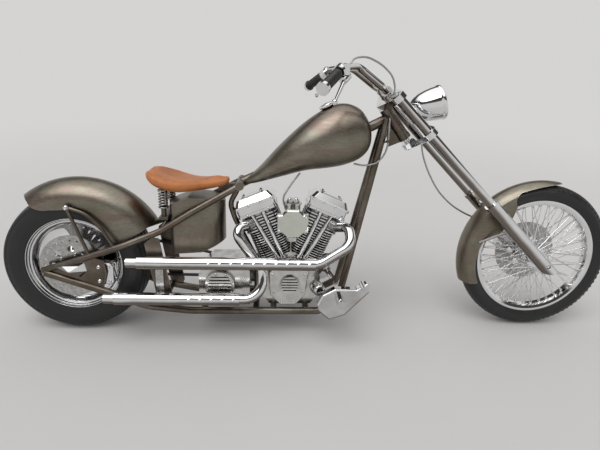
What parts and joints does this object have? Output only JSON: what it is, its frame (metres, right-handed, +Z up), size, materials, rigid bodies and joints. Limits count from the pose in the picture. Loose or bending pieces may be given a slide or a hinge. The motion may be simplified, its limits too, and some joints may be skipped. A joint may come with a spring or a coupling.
{
  "type": "chopper motorcycle",
  "caption": "Long raked V-twin chopper motorcycle with laced front wheel, wide rear tyre, sprung saddle and free steering, wheels and side stand, parked leaning on its stand.",
  "frame": {"origin": "middle of the outer box, on the floor that both tyres and the stand's foot rest on", "axes": "+X forward along the wheelbase, +Y to the rider's left, +Z up; the motorcycle leans to +Y"},
  "size_m": [2.818, 0.817, 1.2407],
  "materials": {
    "raw_steel": "bare brushed steel with brown heat and hand marks",
    "chrome": "bright plating",
    "polished": "polished cast aluminium",
    "dark_fins": "black enamel with bright fin edges",
    "leather": "tan saddle leather",
    "tyre": "black rubber",
    "rubber": "black rubber",
    "steel": "bare steel",
    "glass": "clear glass"
  },
  "bodies": {
    "front_wheel": {"front_tyre": "tyre", "front_rim": "chrome", "front_hub": "chrome", "front_spokes": "chrome", "front_disc": "steel"},
    "rear_wheel": {"rear_tyre": "tyre", "rear_rim": "chrome", "rear_disc": "steel", "rear_pulley": "polished"},
    "fork": {"fork_trees": "chrome", "fork_tubes": "chrome", "fork_sliders": "chrome", "front_axle": "chrome", "front_fender": "raw_steel", "headlight": "chrome", "headlight_lens": "glass", "handlebar": "chrome", "grips": "rubber", "hand_levers": "chrome", "front_caliper": "chrome", "control_cables": "steel", "brake_hose": "steel"},
    "side_stand": {"side_stand": "chrome"},
    "frame": {"backbone": "raw_steel", "downtubes": "raw_steel", "upper_stays": "raw_steel", "frame_plates": "raw_steel", "cross_members": "raw_steel", "fuel_tank": "raw_steel", "fuel_cap": "chrome", "oil_tank": "raw_steel", "seat": "leather", "seat_springs": "steel", "seat_bracket": "raw_steel", "rear_fender": "raw_steel", "crankcase": "polished", "cylinders": "dark_fins", "cylinder_heads": "dark_fins", "rocker_boxes": "chrome", "cam_cover": "polished", "pushrod_tubes": "chrome", "carburettor": "polished", "air_cleaner": "chrome", "oil_filter": "chrome", "primary_cover": "polished", "gearbox": "polished", "exhausts": "chrome", "exhaust_brackets": "steel", "foot_controls": "chrome", "drive_belt": "rubber", "rear_axle": "chrome", "rear_caliper": "chrome", "fender_struts": "raw_steel", "throttle_cable": "steel", "fuel_hose": "steel"}
  },
  "joints": [
    {"name": "steering", "type": "hinge", "parent": "frame", "child": "fork", "pos_m": [0.3285, -0.01138, 0.96205], "axis": [-0.6157, 0.0577, 0.7859], "range_deg": [-28, 28]},
    {"name": "front_wheel_spin", "type": "hinge", "parent": "fork", "child": "front_wheel", "pos_m": [1.056, -0.05613, 0.35269], "axis": [0, 0.9973, -0.0732], "continuous": true},
    {"name": "rear_wheel_spin", "type": "hinge", "parent": "frame", "child": "rear_wheel", "pos_m": [-1.089, -0.05855, 0.31978], "axis": [0, 0.9973, -0.0732], "continuous": true},
    {"name": "side_stand_fold", "type": "hinge", "parent": "frame", "child": "side_stand", "pos_m": [-0.0365, 0.07932, 0.10812], "axis": [0, 0.7734, 0.6339], "range_deg": [0, 100]}
  ]
}
